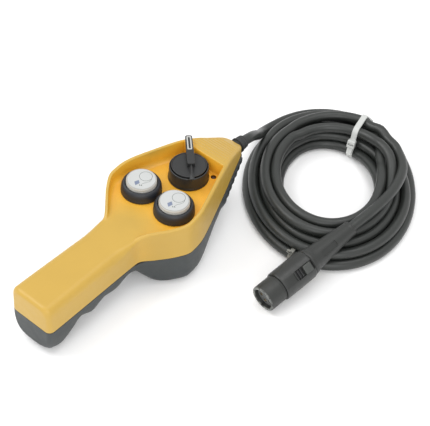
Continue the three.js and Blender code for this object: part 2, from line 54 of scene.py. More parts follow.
BUTT_X, NOSE_X = -127, 90  # the ends of the grip and of the nose
BUTT_ROUNDING = (4, 4)  # its length, and how far it draws the outline in
NOSE_ROUNDING = (9, 5.6)
WALL = 3
DRAFT = 0.035  # how much the sides spread on their way down
SEAM = 0.15  # half the gap between the covers
SEAM_BEVEL = 0.35
STEP_X = 50  # where the sunk panel ends and the nose begins
STEP_FILLET = 0.9
RIM = 3
EDGE, EDGE_LOSS = 6, 4.4  # the rounding of the upper edges, and what the head has less
NECK = (-60, -38)
END_DROP = 0.8  # how much of the ends' rounding shows in the height too
RIBS = (53, 80.9)  # the nose's fine ribs, from and to
RIB_PITCH, RIB_SWELL = 3.1, 0.17
TEETH = (44, 85.5)  # the rear cover's serrated edge, from and to
TOOTH_PITCH, TOOTH_DEPTH = 5.6, 1.8
# Three outlines of the housing, as rows of a place along it and the value there.
HALF_WIDTH = [
    (-127, 17.8), (-90, 17.3), (-60, 16.7), (-42, 16.5), (-38.5, 16.8), (-35, 18.9), (-28, 25),
    (-20, 32), (-10, 38.4), (-3, 39), (4, 38.3), (12, 36), (20, 33.2), (30, 29.5), (50, 22),
    (70, 14.3), (82, 9.9), (90, 7.6),
]
TOP = [
    (-127, 0), (-40.5, 0), (-35.5, 2.2), (-29, 4.8), (-18, 7), (-5, 9.8), (10, 12.3), (25, 13),
    (48, 13.1), (62, 10), (71, 6.4), (79, 3.2), (84, 1.2), (90, -0.6),
]
BOTTOM = [
    (-127, -44), (-121.5, -47.6), (-114, -48.4), (-106, -41.5), (-97, -32.5), (-90.5, -35.5),
    (-84.5, -38.5), (-79, -35.5), (-73, -32.5), (-66, -34.5), (-60, -35), (-54, -32), (-47, -29),
    (-40, -31.5), (-33, -40), (-27, -46.8), (-20, -48.8), (-8, -48.8), (5, -46.5), (20, -40.5),
    (38, -33), (60, -24.5), (78, -17.8), (90, -13.6),
]
SCREWS = [(-112, 0), (-62, 0), (-26, 17), (-26, -17), (58, 10.5), (58, -10.5)]
CLAMP = (74, 6.8)  # its two screws' place along the station, and to each side
CONTROL_BORE = 11.3
BUTTON_Y = 15.8
SELECTOR_X = 33.7
LEVER_ANGLE = 45
LEVER_TOP = 16.5
LEVER_SHIFT = Matrix.Translation((0, -1.3, 0))  # the lever sits a little off the knob's middle
LAMP = (46.4, -13.4)

CABLE_RADIUS = 4
CABLE_EXIT = (98, 0, -7)
CABLE_ENTRY = (Matrix.Translation((NOSE_X, 0, CABLE_EXIT[2]))
               @ Matrix.Rotation(pi / 2, 4, "Y"))
COIL_CENTRE = (134.8, -58.8)
COIL_TURN = radians(37)
COIL_ALONG, COIL_ACROSS = 87, 68  # the half axes of the coil's oval, at its outside
COIL_REACH = 78  # a place in the coil has a reach, which is this at its outside
LEAD_PATH = [
    (70, 0, -7), (84, 0, -7), (96, 0, -7), (102, 0, -7.7), (108, 1, -10.2), (114, 2.9, -14),
    (122.5, 6, -20.8), (131, 10.8, -28.6), (139.5, 16, -36.2), (148.5, 20, -41.8), (158, 21.8, -44),
]
TAIL_PATH = [
    (198, -52.3, -28.5), (196.2, -66.5, -27.7), (192.2, -79, -26.9), (184.8, -90.6, -26),
    (172, -100.3, -25), (152.9, -106.8, -23.8), (132.8, -109.2, -22.9), (114, -109.2, -22.4),
    (100.6, -107.9, -23.1), (88.5, -106.5, -24.8),
]
PLUG_FRONT = Vector((5.2, -96.6, -36.4))
PLUG_BACK = Vector((94, -107.1, -24))
PLUG_LENGTH = 90.5
PLUG_AXIS = (PLUG_BACK - PLUG_FRONT).normalized()
PLUG_FRAME = (Matrix.Translation(PLUG_FRONT)
              @ Vector((0, 0, 1)).rotation_difference(PLUG_AXIS).to_matrix().to_4x4())
SLEEVE_FRAME = PLUG_FRAME @ Matrix.Rotation(radians(215), 4, "Z")
TIE_ANGLE = radians(-29.5)
TIE_REACH = 60  # any reach in the coil shows the way from its centre to the tie
HEAD_HEIGHT = 15.5  # of the tie's head above the table


# ---- mesh helpers
def piece(name, shape, look, body="housing", replaces=(), sharp=35):
    """A closed mesh in the station's millimetres, put into the frame and onto its body."""
    mesh = as_mesh(name, shape)
    obj = put(name, mesh)
    mesh.transform(TO_FRAME)
    face_out(mesh, merge=True)
    mesh.shade_smooth()
    mesh.set_sharp_from_angle(angle=radians(sharp))
    mesh.materials.append(LOOK[look])
    settle_in(obj, body, replaces)
    return obj


def as_mesh(name, shape):
    mesh = bpy.data.meshes.new(name)
    mesh.from_pydata([tuple(v) for v in shape[0]], [], [tuple(f) for f in shape[1]])
    return mesh


def put(name, data):
    """A new object in the scene."""
    obj = bpy.data.objects.new(name, data)
    bpy.context.scene.collection.objects.link(obj)
    return obj


def settle_in(obj, body, replaces):
    if replaces:
        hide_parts(*replaces)
    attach(obj, body)


def face_out(mesh, merge=False):
    work = bmesh.new()
    work.from_mesh(mesh)
    if merge:
        bmesh.ops.remove_doubles(work, verts=work.verts, dist=1e-7)
    bmesh.ops.recalc_face_normals(work, faces=work.faces)
    work.to_mesh(mesh)
    work.free()


# ---- camera, light and floor
CAMERA_ANGLES = (52.6, 45.73, -4.13)  # azimuth, elevation and roll, in degrees
CAMERA_AIM = (41.28, -8.75)  # from the button row, to the picture's right and up
CAMERA_AWAY = 903
LENS, SENSOR = 105.15, 36
FLOOR_SIZE, FLOOR_Z = 6, -0.0002  # metres


def add_camera():
    """The photograph's view of the station."""
    azimuth, elevation, roll = (radians(a) for a in CAMERA_ANGLES)
    level = Vector((cos(azimuth), -sin(azimuth), 0))
    forward = Vector((cos(elevation) * sin(azimuth),
                      cos(elevation) * cos(azimuth), -sin(elevation)))
    upright = level.cross(forward)
    right = cos(roll) * level - sin(roll) * upright
    up = sin(roll) * level + cos(roll) * upright
    aim = CAMERA_AIM[0] * right + CAMERA_AIM[1] * up
    eye = TO_FRAME @ (aim - CAMERA_AWAY * forward)
    data = bpy.data.cameras.new("camera")
    data.lens = LENS
    data.sensor_width = SENSOR
    data.clip_start = 0.01
    camera = put("camera", data)
    turn = Matrix((right, up, -forward)).transposed().to_4x4()
    camera.matrix_world = Matrix.Translation(eye) @ turn
    bpy.context.scene.camera = camera


def add_area(name, place, target, size, power):
    """A square lamp that looks at its target; places are in the frame's metres."""
    data = bpy.data.lights.new(name, "AREA")
    data.size = size
    data.energy = power
    light = put(name, data)
    light.location = place
    light.rotation_mode = "QUATERNION"
    light.rotation_quaternion = (Vector(target) - Vector(place)).to_track_quat("-Z", "Y")


def add_studio():
    world = bpy.data.worlds.new("studio")
    bpy.context.scene.world = world
    world.use_nodes = True
    background = world.node_tree.nodes["Background"]
    background.inputs["Color"].default_value = (1, 1, 1, 1)
    background.inputs["Strength"].default_value = 0.92
    middle = (0.06, -0.05, 0)
    add_area("key", (-0.5, 0.9, 1.3), middle, 0.9, 11)
    add_area("fill", (-1.0, -0.9, 0.9), middle, 1.3, 11)
    add_area("top", (0.35, -0.1, 1.5), middle, 0.7, 5)

    mesh = bpy.data.meshes.new("floor")
    work = bmesh.new()
    bmesh.ops.create_grid(work, x_segments=1, y_segments=1, size=FLOOR_SIZE)
    work.to_mesh(mesh)
    work.free()
    floor = put("floor", mesh)
    floor.location.z = FLOOR_Z
    mesh.materials.append(plastic("floor", (0.93, 0.93, 0.93), 0.9, tint=0.01, grain=0.002))
    bpy.context.scene.view_settings.view_transform = "Standard"


# ---- materials
class Surface:
    """A material's node tree with a short way to add and join nodes."""

    def __init__(self, name):
        self.material = bpy.data.materials.new(name)
        self.material.use_nodes = True
        self.nodes = self.material.node_tree.nodes
        self.shader = self.nodes["Principled BSDF"]
        self.place = self.nodes.new("ShaderNodeTexCoord").outputs["Object"]

    def join(self, source, socket):
        """Feeds a socket from another one, or with a number or a colour."""
        if isinstance(source, float):
            socket.default_value = source
        elif isinstance(source, tuple):
            socket.default_value = (*source, 1)
        else:
            self.material.node_tree.links.new(source, socket)

    def add(self, kind, **values):
        """A node with values for its inputs, in whose names _ stands for a space."""
        node = self.nodes.new("ShaderNode" + kind)
        for name, value in values.items():
            node.inputs[name.replace("_", " ")].default_value = value
        return node

    def noise(self, scale, detail, roughness=0.55):
        node = self.add("TexNoise", Scale=scale, Detail=detail, Roughness=roughness)
        self.join(self.place, node.inputs["Vector"])
        return node.outputs["Fac"]

    def spread(self, source, low, high, start=0.3, end=0.7):
        """The source's start to end mapped onto low to high."""
        node = self.add("MapRange", From_Min=start, From_Max=end, To_Min=low, To_Max=high)
        self.join(source, node.inputs["Value"])
        return node.outputs["Result"]

    def blend(self, share, first, second):
        """A colour between first and second."""
        node = self.add("Mix")
        node.data_type = "RGBA"
        self.join(share, node.inputs["Factor"])
        self.join(first, node.inputs[6])
        self.join(second, node.inputs[7])
        return node.outputs[2]

    def math(self, kind, first, second, clamp=False):
        node = self.add("Math")
        node.operation = kind
        node.use_clamp = clamp
        self.join(first, node.inputs[0])
        self.join(second, node.inputs[1])
        return node.outputs[0]

    def bump(self, height, strength, distance):
        node = self.add("Bump", Strength=strength, Distance=distance)
        self.join(height, node.inputs["Height"])
        return node.outputs["Normal"]


def shade(colour, factor):
    return tuple(min(1.0, c * factor) for c in colour)


def plastic(name, colour, roughness, tint=0.08, grain=0.03, recess=None):
    """Moulded plastic: a faint uneven tint, scuffed gloss and a fine spark texture; in its
    hollows, found by ambient occlusion, another colour may be painted in as painted bounce light
    and shade."""
    s = Surface(name)
    wide = s.noise(28, 4)
    fine = s.noise(2600, 2)
    scuffs = s.noise(190, 6, 0.7)
    base = s.blend(s.spread(wide, 0, 1), shade(colour, 1 - tint), shade(colour, 1 + tint))
    # Painted light: the hollows' ambient occlusion blends the colour towards the recess colour,
    # standing in for the light bounced round them and their shade.
    if recess:
        hollow = s.add("AmbientOcclusion", Distance=16 * MM)
        hollow.samples = 6
        base = s.blend(s.spread(hollow.outputs["AO"], 1, 0, 0.4, 0.97), base, recess)
    s.join(base, s.shader.inputs["Base Color"])
    s.join(s.spread(scuffs, roughness - 0.06, roughness + 0.08), s.shader.inputs["Roughness"])
    s.join(s.bump(fine, 0.6, grain * MM), s.shader.inputs["Normal"])
    return s.material


def metal(name, colour, roughness):
    s = Surface(name)
    s.shader.inputs["Metallic"].default_value = 1
    s.join(s.blend(s.spread(s.noise(300, 4), 0, 1), shade(colour, 0.85), shade(colour, 1.08)),
           s.shader.inputs["Base Color"])
    s.join(s.spread(s.noise(900, 5), roughness - 0.08, roughness + 0.12),
           s.shader.inputs["Roughness"])
    s.join(s.bump(s.noise(1500, 3), 0.3, 0.02 * MM), s.shader.inputs["Normal"])
    return s.material


# ---- shapes: points and faces
def circle(count):
    """Angles all the way round."""
    return [tau * i / count for i in range(count)]


def quarter(steps):
    """Angles from 0 to a right angle."""
    return [pi / 2 * i / steps for i in range(steps + 1)]


def turned(profile, sides=72):
    """A closed piece turned about Z from (radius, height) points."""
    verts, faces, rings = [], [], []
    for radius, height in profile:
        first = len(verts)
        if radius < 1e-6:
            rings.append([first] * sides)
            verts.append(Vector((0, 0, height)))
            continue
        rings.append(range(first, first + sides))
        verts += [Vector((radius * cos(a), radius * sin(a), height)) for a in circle(sides)]
    closed = profile[0][0] > 0 or profile[-1][0] > 0
    for low, high in zip(rings, [*rings[1:], rings[0]] if closed else rings[1:]):
        for i in range(sides):
            j = (i + 1) % sides
            corners = tuple(dict.fromkeys((low[i], low[j], high[j], high[i])))
            if len(corners) > 2:
                faces.append(corners)
    return verts, faces


def softened(corners, steps=4):
    """A closed outline of (a, b, fillet) corners, each rounded over its fillet's length."""
    outline = []
    for i, (a, b, fillet) in enumerate(corners):
        if not fillet:
            outline.append((a, b))
            continue
        here = Vector((a, b))
        before = Vector(corners[i - 1][:2]) - here
        after = Vector(corners[(i + 1) % len(corners)][:2]) - here
        start = here + before.normalized() * min(fillet, 0.49 * before.length)
        end = here + after.normalized() * min(fillet, 0.49 * after.length)
        for k in range(steps + 1):
            t = k / steps
            outline.append(tuple((1 - t) ** 2 * start + 2 * t * (1 - t) * here + t * t * end))
    return outline


def lathe(*corners, steps=4, sides=96):
    """A round piece from its outline of (radius, height, fillet) corners."""
    return turned(softened(corners, steps), sides)


def loft(rings, closed=False):
    """A skin over rings of points; open ends are capped from their middle."""
    count = len(rings[0])
    verts = [Vector(v) for ring in rings for v in ring]
    faces = []
    for k in range(len(rings) if closed else len(rings) - 1):
        low, high = k * count, (k + 1) % len(rings) * count
        for i in range(count):
            j = (i + 1) % count
            faces.append((low + i, low + j, high + j, high + i))
    for k in () if closed else (0, len(rings) - 1):
        middle = len(verts)
        verts.append(sum((Vector(v) for v in rings[k]), Vector()) / count)
        faces += [(middle, k * count + i, k * count + (i + 1) % count) for i in range(count)]
    return verts, faces


def moved(shape, matrix):
    return [matrix @ Vector(v) for v in shape[0]], shape[1]


def at(x, y, z=0, turn=0):
    """A place for a piece, turned about Z by degrees."""
    return Matrix.Translation((x, y, z)) @ Matrix.Rotation(radians(turn), 4, "Z")


def joined(shapes):
    verts, faces = [], []
    for points, loops in shapes:
        faces += [tuple(i + len(verts) for i in loop) for loop in loops]
        verts += list(points)
    return verts, faces


def rod(radius, low, high, x=0, y=0, sides=40):
    profile = [(0, low), (radius, low), (radius, high), (0, high)]
    return moved(turned(profile, sides), at(x, y))


def soft_brick(x0, x1, y0, y1, z0, z1, r=0.4):
    """A block with all its edges rounded."""
    def ring(x, inset):
        corners = [(y0 + inset, z0 + inset, r), (y1 - inset, z0 + inset, r),
                   (y1 - inset, z1 - inset, r), (y0 + inset, z1 - inset, r)]
        return [(x, y, z) for y, z in softened(corners, 3)]
    ends = [(0, r), (0.13 * r, 0.5 * r), (0.5 * r, 0.13 * r), (r, 0)]
    return loft([ring(x0 + d, inset) for d, inset in ends]
                + [ring(x1 - d, inset) for d, inset in reversed(ends)])


def ring_plate(outer, inner, low, high, closed=True):
    """A flat plate between two lines with as many points each."""
    return loft([[(*a, low), (*a, high), (*b, high), (*b, low)] for a, b in zip(outer, inner)],
                closed)


def stroke(points, width, low, high, closed=False):
    """A thin printed line through flat points."""
    left, right = [], []
    last = len(points) - 1
    for i, point in enumerate(points):
        before = points[i - 1] if i or closed else point
        after = points[(i + 1) % len(points)] if i < last or closed else point
        run = (Vector(after) - Vector(before)).normalized() * width / 2
        left.append((point[0] - run.y, point[1] + run.x))
        right.append((point[0] + run.y, point[1] - run.x))
    return ring_plate(left, right, low, high, closed)


CUT, ADD, KEEP = "DIFFERENCE", "UNION", "INTERSECT"


def carve(base, *changes):
    """The base after each change, which is a kind, CUT, ADD or KEEP, and a shape."""
    def stand_in(shape):
        mesh = as_mesh("stand_in", shape)
        face_out(mesh)
        return put("stand_in", mesh)

    target = stand_in(base)
    tools = [stand_in(shape) for _, shape in changes]
    for tool, (kind, _) in zip(tools, changes):
        change = target.modifiers.new(kind, "BOOLEAN")
        change.operation, change.solver, change.object = kind, "MANIFOLD", tool
    done = target.evaluated_get(bpy.context.evaluated_depsgraph_get())
    mesh = bpy.data.meshes.new_from_object(done)
    verts = [v.co.copy() for v in mesh.vertices]
    faces = [tuple(f.vertices) for f in mesh.polygons]
    for data in (mesh, *(obj.data for obj in (target, *tools))):
        bpy.data.meshes.remove(data)
    return verts, faces


# ---- the housing
def along(table, x):
    """Smooth value of a table of (x, value) rows."""
    last = len(table) - 1
    if x <= table[0][0]:
        return table[0][1]
    if x >= table[-1][0]:
        return table[-1][1]
    i = bisect.bisect_right([row[0] for row in table], x) - 1

    def slope(k):
        if k <= 0 or k >= last:
            return 0
        return (table[k + 1][1] - table[k - 1][1]) / (table[k + 1][0] - table[k - 1][0])

    (x0, a), (x1, b) = table[i], table[i + 1]
    h = x1 - x0
    t = (x - x0) / h
    m0, m1 = (0, 0) if a == b else (slope(i) * h, slope(i + 1) * h)
    return ((2 * t ** 3 - 3 * t * t + 1) * a + (t ** 3 - 2 * t * t + t) * m0
            + (3 * t * t - 2 * t ** 3) * b + (t ** 3 - t * t) * m1)


def parting(x):
    """The height of the line where the covers meet."""
    return -22 + 0.1356 * max(0, x + 30)


def end_inset(x):
    """How far the rounded ends draw the outline in."""
    reach, depth = BUTT_ROUNDING if x < 0 else NOSE_ROUNDING
    d = max(0, min(x - BUTT_X, NOSE_X - x, reach))
    return depth * (1 - sqrt(1 - (1 - d / reach) ** 2))


def side_at(x, z, inset=0):
    """Half the housing's width at a place along it and a height."""
    return along(HALF_WIDTH, x) + DRAFT * (along(TOP, x) - z) - end_inset(x) - inset


def eased(x, start, end):
    """From 0 at the start to 1 at the end, softly."""
    t = min(1, max(0, (x - start) / (end - start)))
    return t * t * (3 - 2 * t)


def mirrored(x, right):
    """A whole ring from its right half, which runs from the bottom to the middle."""
    left = [(x, -y, z) for y, z in reversed(right) if y > 1e-6]
    return [(x, y, z) for y, z in right] + left


def panel_height(x, top):
    """The sunk panel, the step with its rounded foot and edge, and the nose's ribs."""
    foot = STEP_FILLET
    if x < STEP_X - foot:
        return min(0, top)
    if x < STEP_X:
        return foot - sqrt(foot ** 2 - (x - STEP_X + foot) ** 2)
    if x < STEP_X + foot:
        return top - foot + sqrt(foot ** 2 - (STEP_X + foot - x) ** 2)
    if RIBS[0] < x < RIBS[1]:
        return top + RIB_SWELL * (1 - cos(tau * (x - RIBS[0]) / RIB_PITCH))
    return top


def front_ring(x):
    """The front cover's section: side, rounded corner, rim, and the panel's floor."""
    top = along(TOP, x) - END_DROP * end_inset(x)
    low = parting(x) + SEAM
    w = side_at(x, top)
    corner = min(EDGE - EDGE_LOSS * eased(x, *NECK), 0.5 * (top - low), 0.45 * w)
    rim = min(max(RIM, corner + 1.2), 0.62 * w)
    floor = panel_height(x, top)
    depth = max(0, top - floor)
    right = [(side_at(x, low) - SEAM_BEVEL, low),
             (side_at(x, low + SEAM_BEVEL), low + SEAM_BEVEL)]
    for i in range(1, 6):
        z = low + SEAM_BEVEL + (top - corner - low - SEAM_BEVEL) * i / 6
        right.append((side_at(x, z), z))
    for a in quarter(6):
        z = top - corner + corner * sin(a)
        right.append((side_at(x, z) - corner * (1 - cos(a)), z))
    edge = w - rim
    lip, drop = min(1.2, 0.6 * (rim - corner)), min(1.2, 0.4 * depth)
    for a in quarter(4):
        right.append((edge + lip * (1 - sin(a)), top - drop * (1 - cos(a))))
    foot = edge - min(0.3, 0.05 * edge)
    wide, high = min(4, 0.35 * foot), min(4, 0.5 * depth)
    for a in quarter(5):
        right.append((foot - wide * (1 - cos(a)), floor + high * (1 - sin(a))))
    for share in (0.75, 0.5, 0.25, 0):
        right.append(((foot - wide) * share, floor))
    return mirrored(x, right)


def teeth(x):
    """How far the serrated edge of the rear cover stands out under the nose."""
    start, end = TEETH
    saw = TOOTH_DEPTH * ((x - start) % TOOTH_PITCH / TOOTH_PITCH) if start < x < end else 0
    return 0.1 * eased(x, start - 4, start) + saw


def rear_ring(x, inset=0):
    """The rear cover's section, or, with an inset, that of its hollow, which is open above."""
    low = parting(x) - (SEAM if inset == 0 else -5)
    bottom = along(BOTTOM, x) + (END_DROP if x < 0 else 0.3) * end_inset(x) + inset
    half = side_at(x, parting(x), inset)
    if inset == 0 and x < TEETH[1] + 0.5:
        half += teeth(x)
    # The section is squarer under the head and rounder at the butt.
    power = (4.4 + 3 * eased(x, -50, -38) * (1 - eased(x, 0, 30))
             - 1.3 * (1 - eased(x, -124, -98)))
    right = [(0, bottom)]
    for i in range(17, 0, -1):
        a = pi / 2 * (i / 18) ** 1.5
        y = half * cos(a) ** (2 / power)
        z = parting(x) - (parting(x) - bottom) * sin(a) ** (2 / power)
        right.append((y, min(z, low - 0.8)))
    right += [(half, low - 0.4), (half - 0.4, low), (half * 0.5, low), (0, low)]
    return mirrored(x, [(y, max(z, TABLE + inset)) for y, z in right])


def stations(inset=0, fine=True):
    """Places along the housing: close where its form turns."""
    first, last = BUTT_X + inset, NOSE_X - inset
    xs = [first + BUTT_ROUNDING[0] * (1 - cos(a)) for a in quarter(7)]
    xs += [last - NOSE_ROUNDING[0] * (1 - cos(a)) for a in quarter(9)[:-1]]
    if not fine:
        return sorted(xs + list(np.arange(first + 8, last - 10, 4.0)))
    xs += list(np.arange(-118, -60, 2.5)) + list(np.arange(-60, 49, 1.7))
    xs += [STEP_X + d for d in (-0.9, -0.6, -0.3, -0.08, 0, 0.08, 0.3, 0.6, 0.9)]
    return sorted(xs + list(np.arange(51.3, 80.8, 0.52)))


def rear_stations():
    """The same places, but at the teeth each tooth's own."""
    start, end = TEETH
    xs = [x for x in stations() if x < start - 1]
    for k in range(8):
        root = start + TOOTH_PITCH * k
        xs += [root + d for d in (0.01, 1.9, 3.7, 5.5) if root + d < end]
    return xs + [x for x in stations() if x > end + 0.2]


def slab(inset, low, high):
    """Everything inside the inset outline, between two heights from the parting line."""
    rings = []
    for x in stations(inset, fine=False):
        z0, z1 = parting(x) + low, parting(x) + high
        w = side_at(x, parting(x), inset)
        rings.append([(x, w, z0), (x, w, z1), (x, -w, z1), (x, -w, z0)])
    return loft(rings)


def front_cavity():
    """Flat under the panel, with a dome under the nose."""
    rings = []
    xs = [x for x in stations(WALL, fine=False) if abs(x - STEP_X - WALL) > 1]
    for x in sorted([*xs, STEP_X + WALL - 0.05, STEP_X + WALL + 0.05]):
        ceiling = -WALL if x < STEP_X + WALL else along(TOP, x) - 0.7 * end_inset(x) - WALL
        z0 = parting(x) - 4
        w0, w1 = side_at(x, z0, WALL), side_at(x, ceiling, WALL)
        rings.append([(x, w0, z0), (x, w1, ceiling - 1), (x, w1 - 1, ceiling),
                      (x, 1 - w1, ceiling), (x, -w1, ceiling - 1), (x, -w0, z0)])
    return loft(rings)


def entry_holes():
    """The cable's hole in the nose, and the seat of the grommet's collar."""
    return [moved(rod(*size), CABLE_ENTRY) for size in ((5.4, -12, 12), (6.3, -6.5, -3.5))]


def front_shell():
    tops = [(x, y, along(TOP, x) - 2 if x > STEP_X else -2) for x, y in SCREWS]
    bosses = joined(rod(3.6, parting(x) + 1.2, top, x, y) for x, y, top in tops)
    pilots = joined(rod(1.6, parting(x) - 5, top - 2, x, y, 20) for x, y, top in tops)
    bores = joined(rod(CONTROL_BORE, -9, 9, x, y, 64) for x, y in
                   ((0, BUTTON_Y), (0, -BUTTON_Y), (SELECTOR_X, 0)))
    hole, seat = entry_holes()
    return carve(loft([front_ring(x) for x in stations()]), (CUT, front_cavity()),
                 (ADD, bosses), (CUT, bores), (CUT, rod(2.1, -9, 9, *LAMP)),
                 (CUT, pilots), (CUT, hole), (CUT, seat))


def rear_shell():
    inside = loft([rear_ring(x, WALL) for x in stations(WALL, fine=False)])
    bosses = joined(rod(5, along(BOTTOM, x) + 1, parting(x) - 0.8, x, y) for x, y in SCREWS)
    within = loft([rear_ring(x, 1.2) for x in stations(1.2, fine=False)])
    kept = carve(bosses, (KEEP, within))
    shanks = joined(rod(1.8, -60, 10, x, y, 24) for x, y in SCREWS)
    heads = joined(rod(3.3, -60, along(BOTTOM, x) + 8, x, y) for x, y in SCREWS)
    posts = joined(rod(2, -16, -3.6, CLAMP[0], side * CLAMP[1]) for side in (1, -1))
    pilots = joined(rod(1.4, -12, 0, CLAMP[0], side * CLAMP[1], 20) for side in (1, -1))
    groove = carve(slab(0.8, -1.6, 2), (CUT, slab(2.3, -3, 4)))
    hole, seat = entry_holes()
    return carve(loft([rear_ring(x) for x in rear_stations()]), (CUT, inside), (ADD, kept),
                 (ADD, posts), (CUT, pilots), (CUT, shanks), (CUT, heads), (CUT, groove),
                 (CUT, hole), (CUT, seat))


def add_housing():
    piece("front_shell", front_shell(), "yellow", replaces=["front_cover"],
          sharp=32)
    piece("rear_shell", rear_shell(), "slate", replaces=["rear_cover"],
          sharp=40)


# ---- the controls
def thread(radius, low, high, pitch=1.0):
    """The zigzag side of a threaded barrel, from low to high."""
    count = round((high - low) / pitch)
    return [(radius - (0.45 if k % 2 else 0), low + (high - low) * k / (2 * count), 0)
            for k in range(2 * count + 1)]


def button_collar():
    return lathe(
        (3.6, -12, 0), *thread(11, -12, 1.4), (13.7, 1.4, 0), (13.7, 0.3, 0), (15, 0.3, 0.25),
        (15.05, 2.2, 0.3), (14.85, 2.5, 0.2), (14.95, 3.2, 0.6), (14.6, 6.4, 1.6),
        (13.5, 8.3, 1.3), (12.4, 8.8, 0.4), (11.85, 8.6, 0.25), (11.7, 2.3, 0.3), (9.9, 2.3, 0),
        (9.9, -10.2, 0), (3.6, -10.2, 0),
    )


def button_cap():
    return lathe(
        (0, 6.1, 0), (11.1, 6.1, 0.2), (11.3, 6.4, 0.2), (11.3, 8.9, 0.2), (10.9, 9.1, 0.1),
        (10.9, 9.4, 0.1), (11.3, 9.6, 0.2), (11.25, 10.4, 0.4), (10.9, 11.1, 0.4),
        (10.55, 11.25, 0.15), (10.3, 11, 0.1), (0, 11, 0),
    )


def legend_disc():
    return lathe(
        (0, 11.07, 0), (10.2, 11.07, 0.1), (10.2, 11.4, 0.15), (9.9, 11.5, 0.2), (0, 11.5, 0),
    )


PRINT_FOOT = 11.49  # just under the disc's face
READ_COS, READ_SIN = 0.607, 0.794  # the print is turned to be read from the camera's side


def spot(right, up):
    """A point of the print, given as it is read."""
    return READ_COS * right + READ_SIN * up, -READ_SIN * right + READ_COS * up


def legend_print():
    """The printed mark: a ring with a sweeping tail, and two small ticks."""
    heights = (PRINT_FOOT, 11.525)
    loop = [spot(2.9 + 4.7 * cos(a), 2.9 + 4.7 * sin(a))
            for a in (radians(-20 + 5 * i) for i in range(72))]
    bend = [(7.2, 0.9), (6.9, -0.9), (5.9, -2.3), (4.2, -3.3), (2.3, -4.1), (0.8, -5.2)]
    tail = [spot(*p) for p in bend]
    ticks = [[spot(-0.9 + d, -5.9), spot(-0.7 + d, -6.8), spot(-0.2 + d, -6.9)] for d in (0, 1.3)]
    return joined([stroke(loop, 0.26, *heights, closed=True), stroke(tail, 0.24, *heights),
                   *(stroke(tick, 0.55, *heights) for tick in ticks)])


def legend_block():
    outline = [(-4.9, -3.3), (-3.8, -6.9), (-0.9, -4.4), (-1.9, -1.3)]
    flat = softened([(*spot(*p), 0.3) for p in outline], 2)
    return loft([[(*p, z) for p in flat] for z in (PRINT_FOOT, 11.522)])


def add_button(side, y):
    body = f"{side}_button"
    for name, shape, look, rides, part, slot in (
        ("collar", button_collar(), "collar", "housing", "bezel", "black_plastic"),
        ("press_cap", button_cap(), "cap", body, "cap", "pale_plastic"),
        ("face_disc", legend_disc(), "disc", body, "legend", "legend_disc"),
        ("print_line", legend_print(), "ink", body, None, None),
        ("print_block", legend_block(), "blue_ink", body, None, None),
    ):
        replaces = [f"button_{side}_{part}"] if part else ()
        piece(f"{side}_{name}", moved(shape, at(0, y)), look, rides, replaces)


def selector_drum():
    return lathe(
        (9.4, -10, 0), *thread(11, -10, 1.4), (13.7, 1.4, 0), (13.7, 0.3, 0), (15.2, 0.3, 0.2),
        (15.2, 1.5, 0.3), (14.7, 2.4, 0.6), (14.55, 11.1, 0.4), (14.2, 11.6, 0.3),
        (13.6, 11.6, 0.2), (13.5, 2.4, 0), (9.4, 2.4, 0),
    )


def bar_ring(x, half, low, high, r=0.5):
    """A section of the lever."""
    corners = [(half, low, r), (half, high, r), (-half, high, r), (-half, low, r)]
    return [(x, y, z) for y, z in softened(corners, 3)]


def marker_outline(grow):
    x0, x1, y = 12 - grow, 26.3 + grow, 1.75 + grow
    corners = [(x1, -y, 0.9), (x1, y, 0.9), (x0, y, 0.9), (x0, -y, 0.9)]
    return softened(corners, 5)


def selector_knob():
    disc = lathe(
        (0, 3, 0), (12.6, 3, 0), (12.6, 11.2, 0.2), (13.1, 11.9, 0.2), (13.1, 12.6, 0.3),
        (12.75, 12.85, 0.15), (12.35, 12.75, 0.1), (12.2, 12.4, 0.1), (0, 12.4, 0),
    )
    arm = loft([bar_ring(x, half, low, LEVER_TOP - drop) for x, half, low, drop in (
        (-2.6, 2.5, 13.8, 0.4), (-2.4, 2.7, 13.7, 0.1), (-1.8, 2.8, 13.6, 0), (8, 2.8, 13.6, 0),
        (18, 2.75, 13.6, 0), (26, 2.65, 13.6, 0), (27.1, 2.45, 13.7, 0.1),
        (27.7, 2.0, 13.9, 0.35), (27.9, 1.5, 14.2, 0.7))])
    web = loft([bar_ring(x, 2.75, 11.6, 15, 0.3) for x in (-2.55, 4, 12.2)])
    keel = loft([[(x, w, foot), (x, w, foot + 0.7), (x, 0.3, ridge), (x, -0.3, ridge),
                  (x, -w, foot + 0.7), (x, -w, foot)] for x, w, foot, ridge in (
        (-1, 1.9, 11.9, 15.4), (-6, 1.9, 11.9, 14.9), (-11, 1.8, 11.9, 14.2),
        (-13.5, 1.7, 12, 13.8), (-15.3, 1.6, 12, 13.3), (-15.75, 1.3, 12.1, 13))])
    beak = loft([[(-14.9, w, z), (-15.6, 0.8 * w, z), (-15.95, 0.15 * w, z), (-15.95, -0.15 * w, z),
                  (-15.6, -0.8 * w, z), (-14.9, -w, z)]
                 for z, w in ((12.7, 3.4), (11.8, 3.1), (10.9, 2), (10, 1), (9.3, 0.3))])
    inlay = ring_plate(marker_outline(0.08), marker_outline(-1.08), LEVER_TOP - 0.5, 19)
    handle = carve(arm, (ADD, web), (CUT, inlay))
    return carve(disc, *((ADD, moved(part, LEVER_SHIFT)) for part in (handle, keel, beak)))


def add_selector():
    place = at(SELECTOR_X, 0)
    turn = at(SELECTOR_X, 0, 0, LEVER_ANGLE)
    piece("selector_drum", moved(selector_drum(), place), "knob",
          replaces=["selector_bezel"])
    piece("selector_lever", moved(selector_knob(), turn), "knob", "selector",
          replaces=["selector_knob"])
    marker = ring_plate(marker_outline(0), marker_outline(-1), LEVER_TOP - 0.45, LEVER_TOP + 0.06)
    piece("lever_marking", moved(marker, turn @ LEVER_SHIFT), "marker", "selector",
          replaces=["selector_marker"])


